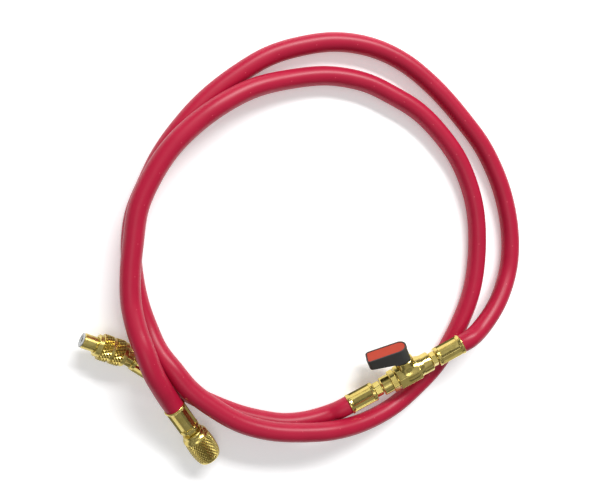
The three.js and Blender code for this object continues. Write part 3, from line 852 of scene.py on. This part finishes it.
class Finish:
    """A material with one Principled shader and a way to add nodes to it."""

    def __init__(self, name, **values):
        self.material = bpy.data.materials.new(name)
        self.material.use_nodes = True
        self.tree = self.material.node_tree
        self.shader = next(n for n in self.tree.nodes if n.type == "BSDF_PRINCIPLED")
        self.set(**values)

    def set(self, **values):
        for name, value in values.items():
            self.feed(self.shader.inputs[name.replace("_", " ")], value)

    def feed(self, socket, value):
        if isinstance(value, Wire):
            self.tree.links.new(value.socket, socket)
        else:
            socket.default_value = value

    def node(self, kind, settings=None, inputs=None, output=0):
        node = self.tree.nodes.new(kind)
        for name, value in (settings or {}).items():
            setattr(node, name, value)
        for key, value in (inputs or {}).items():
            self.feed(node.inputs[key], value)
        return Wire(self, node.outputs[output])

    def place_in(self, frame_):
        """Object coordinates turned into a fitting's own frame, in metres."""
        return self.node("ShaderNodeMapping", {"vector_type": "TEXTURE"}, {
            "Vector": self.node("ShaderNodeTexCoord", output="Object"),
            "Location": frame_.translation, "Rotation": frame_.to_euler()})

    def split(self, vector):
        node = self.tree.nodes.new("ShaderNodeSeparateXYZ")
        self.feed(node.inputs[0], vector)
        return [Wire(self, out) for out in node.outputs]

    def noise(self, vector, scale, detail=3.0):
        return self.node("ShaderNodeTexNoise", {}, {
            "Vector": vector, "Scale": scale, "Detail": detail, "Roughness": 0.5})

    def mix(self, factor, first, second):
        node = self.tree.nodes.new("ShaderNodeMix")
        node.data_type = "RGBA"
        self.feed(node.inputs["Factor"], factor)
        self.feed(node.inputs[6], first)
        self.feed(node.inputs[7], second)
        return Wire(self, node.outputs[2])

    def bump(self, height, strength, distance):
        self.set(Normal=self.node("ShaderNodeBump", {}, {
            "Height": height, "Strength": strength, "Distance": distance}))


def paint(obj, finish):
    """Makes this finish the piece's one material."""
    obj.data.materials.clear()
    obj.data.materials.append(finish.material)


# %% [markdown]
# ## Brass
# The fittings are turned from brass bar: a greenish gold, bright but not
# polished. Fine rings run round each turned piece where the tool fed along it,
# so the material reads the place along the fitting's own axis. Shade is painted
# into the bottoms of the knurl's grooves as a darker colour, which the attribute
# relief marks. Its third power keeps the painted shade away from the points. The
# nut and the coupler are duller than the rest.

# %% Brass finish
BRASS_LIGHT = (0.76, 0.63, 0.21, 1)
BRASS_DEEP = (0.62, 0.48, 0.13, 1)
# painted shade: the colour given to the bottoms of the knurl's grooves
BRASS_GROOVE_SHADE = (0.34, 0.25, 0.06, 1)
BRASS_CLOUD_SCALE = 260.0
BRASS_GRAIN_SCALE = 2600.0
RING_PITCH = 0.18 * MM


def brass(name, frame_, roughness=0.11):
    """Turned brass with rings round the X axis of the fitting's frame."""
    finish = Finish(name, Metallic=1.0)
    local = finish.place_in(frame_)
    x = finish.split(local)[0]
    cloud = finish.noise(local, BRASS_CLOUD_SCALE, 2.0)
    grain = finish.noise(local, BRASS_GRAIN_SCALE)
    rings = (x * (math.tau / RING_PITCH) + cloud * 6.0).wave()
    relief = finish.node("ShaderNodeAttribute", {"attribute_name": "relief"}, output=2)
    # the brass without the painted shade in the grooves
    unshaded_brass = finish.mix((cloud * 1.6 - 0.3).clamped(), BRASS_DEEP, BRASS_LIGHT)
    finish.set(
        # painted shade: the grooves are mixed towards the darker colour by relief cubed
        Base_Color=finish.mix(relief * relief * relief, unshaded_brass, BRASS_GROOVE_SHADE),
        Roughness=(roughness + cloud * 0.12 + grain * 0.04).clamped())
    finish.bump(rings * 0.35 + grain * 0.65, 0.12, 0.02 * MM)
    return finish


brass_end = brass("brass_end", nut_frame, 0.17)
brass_leg = brass("brass_leg", leg_frame)
brass_tip = brass("brass_tip", tip_frame, 0.20)
brass_valve = brass("brass_valve", valve_frame)
for (piece, mouth), finish in zip(ferrules, (brass_end, brass_leg, brass_valve, brass_valve)):
    paint(piece, finish)
for piece in (nut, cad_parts["end_stem"]):
    paint(piece, brass_end)
for piece in (sleeve, elbow_piece):
    paint(piece, brass_tip)
for piece in (body, tail, whip_stem, main_stem, stem_piece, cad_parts["valve_ball"]):
    paint(piece, brass_valve)

# %% [markdown]
# ## Red rubber
# The cover is extruded and then pricked, so that trapped gas can leave it: tiny
# pits sit in rows along the hose, three rows round it. The UV map gives the place
# along and round the hose. A soft cloud of a darker red and a fine grain keep
# the long plain lengths from looking like plastic.

# %% Rubber finish
RED = (0.44, 0.009, 0.042, 1)
RED_SHADE = (0.38, 0.007, 0.034, 1)
PIT_COLOUR = (0.75, 0.12, 0.16, 1)
PIT_SPACING = 24 * MM
PIT_SIZE = 0.32 * MM
PIT_ROWS = 3
RUBBER_CLOUD_SCALE = 60.0
RUBBER_GRAIN_SCALE = 3200.0
PIT_ROW_SHIFT = 3 * MM


def rubber(name, length):
    """The red cover of a hose of this length."""
    finish = Finish(name, Specular_IOR_Level=0.30)
    uv = finish.node("ShaderNodeTexCoord", output="UV")
    u, v, _ = finish.split(uv)
    s = u * length
    round_hose = v * (math.pi * HOSE_DIAMETER)
    place_in_space = finish.node("ShaderNodeTexCoord", output="Object")
    cloud = finish.noise(place_in_space, RUBBER_CLOUD_SCALE)
    grain = finish.noise(place_in_space, RUBBER_GRAIN_SCALE, 2.0)
    along_gap = s.repeat(PIT_SPACING / 2)
    round_gap = (round_hose + PIT_ROW_SHIFT).repeat(math.pi * HOSE_DIAMETER / PIT_ROWS / 2)
    pits = (along_gap * along_gap + round_gap * round_gap).root().below(PIT_SIZE)
    colour = finish.mix((cloud * 1.4 - 0.2).clamped(), RED_SHADE, RED)
    colour = finish.mix(pits * 0.5, colour, PIT_COLOUR)
    finish.set(Base_Color=colour, Roughness=(0.31 + cloud * 0.08 + grain * 0.05).clamped())
    finish.bump(grain * 0.5 - pits * 2.0, 0.15, 0.03 * MM)
    return finish


paint(main_hose, rubber("red_rubber_long", length_of(main_route)))
paint(whip_hose, rubber("red_rubber_whip", length_of(whip_route)))

# %% [markdown]
# ## Plastic and seals
# The lever is a fine-grained black moulding and its insert a satin orange one.
# The seals are pale rubber, and the valve's seats white plastic. Each has two
# shades, which a soft cloud blends.

# %% Plastic and seal finishes
BLACK = (0.034, 0.034, 0.032, 1)
BLACK_WORN = (0.044, 0.044, 0.042, 1)
ORANGE = (0.41, 0.030, 0.006, 1)
ORANGE_WORN = (0.45, 0.036, 0.007, 1)
SEAL_GREY = (0.42, 0.43, 0.43, 1)
SEAL_PALE = (0.62, 0.63, 0.62, 1)
SEAT_WHITE = (0.80, 0.80, 0.77, 1)
SEAT_PALE = (0.88, 0.88, 0.85, 1)
PLASTIC_CLOUD_SCALE = 90.0
PLASTIC_GRAIN_SCALE = 1800.0


def moulded(name, colour, paler, roughness=0.5, bump=0.2):
    """A plastic or rubber of two shades with a fine grain."""
    finish = Finish(name, Specular_IOR_Level=0.35)
    where = finish.node("ShaderNodeTexCoord", output="Object")
    cloud = finish.noise(where, PLASTIC_CLOUD_SCALE)
    grain = finish.noise(where, PLASTIC_GRAIN_SCALE)
    finish.set(
        Base_Color=finish.mix((cloud * 1.5 - 0.25).clamped(), colour, paler),
        Roughness=(roughness + grain * 0.12 - 0.06).clamped())
    finish.bump(grain, bump, 0.03 * MM)
    return finish


paint(lever_piece, moulded("black_plastic", BLACK, BLACK_WORN))
paint(insert_piece, moulded("orange_plastic", ORANGE, ORANGE_WORN, bump=0.08))
seal = moulded("seal_rubber", SEAL_GREY, SEAL_PALE)
paint(tip_seal, seal)
paint(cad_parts["end_seal"], seal)
seats = moulded("seat_plastic", SEAT_WHITE, SEAT_PALE, roughness=0.4)
for node in ("valve_seat_main", "valve_seat_whip"):
    paint(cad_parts[node], seats)
print("materials", len(bpy.data.materials))

# %% [markdown]
# ## Table and light
# The table is plain white and glows a little, so the shadows on it stay faint.
# One wide, narrow light like a window hangs beyond the far side, which puts the
# highlight on the upper side of every strand, and a weak one fills from above.
# The sky has bright and dark bands from the horizon to overhead, so that the
# brass has something dark to reflect as well as something bright.

# %% Stage
TABLE_SIZE = 60
TABLE_GLOW = 0.28
WINDOW = dict(at=(0.30, 0.95, 0.85), size=(0.9, 0.24), power=18)
FILL = dict(at=(-0.25, -0.2, 1.4), size=(0.6, 0.6), power=2.2)
SKY_STRENGTH = 0.62
SKY_STOPS = (
    (0, 0.80), (0.08, 0.35), (0.30, 0.12), (0.60, 0.75), (0.78, 0.25), (0.93, 0.85), (1, 1))

bpy.ops.object.select_all(action="DESELECT")
bpy.ops.mesh.primitive_plane_add(size=TABLE_SIZE)
table = bpy.context.active_object
table.name = "table"
white = Finish(
    "white_table", Roughness=0.8, Emission_Color=(1, 1, 1, 1), Emission_Strength=TABLE_GLOW)
spot = white.noise(white.node("ShaderNodeTexCoord", output="Object"), 30.0)
white.set(Base_Color=white.mix(spot, (0.90, 0.90, 0.90, 1), (0.92, 0.92, 0.92, 1)))
paint(table, white)


def soft_light(name, at, size, power):
    """A rectangular light that faces the middle of the coil."""
    data = bpy.data.lights.new(name, "AREA")
    data.shape = "RECTANGLE"
    data.size, data.size_y = size
    data.energy = power
    light = bpy.data.objects.new(name, data)
    bpy.context.scene.collection.objects.link(light)
    turn = (Vector(at) - AIM).to_track_quat("Z", "Y").to_matrix().to_4x4()
    light.matrix_world = Matrix.Translation(at) @ turn


soft_light("window", **WINDOW)
soft_light("fill", **FILL)

world = bpy.data.worlds.new("studio")
bpy.context.scene.world = world
world.use_nodes = True
tree = world.node_tree
background = next(n for n in tree.nodes if n.type == "BACKGROUND")
direction = tree.nodes.new("ShaderNodeTexCoord")
height = tree.nodes.new("ShaderNodeSeparateXYZ")
ramp = tree.nodes.new("ShaderNodeValToRGB")
for position, grey in SKY_STOPS[2:]:
    ramp.color_ramp.elements.new(position)
for element, (position, grey) in zip(ramp.color_ramp.elements, SKY_STOPS):
    element.position = position
    element.color = (grey, grey, grey, 1)
tree.links.new(direction.outputs["Generated"], height.inputs[0])
tree.links.new(height.outputs[2], ramp.inputs[0])
tree.links.new(ramp.outputs[0], background.inputs[0])
background.inputs[1].default_value = SKY_STRENGTH
print("lights", [light.name for light in bpy.data.lights], "sky bands", len(SKY_STOPS))
bpy.context.scene.view_settings.view_transform = "Standard"
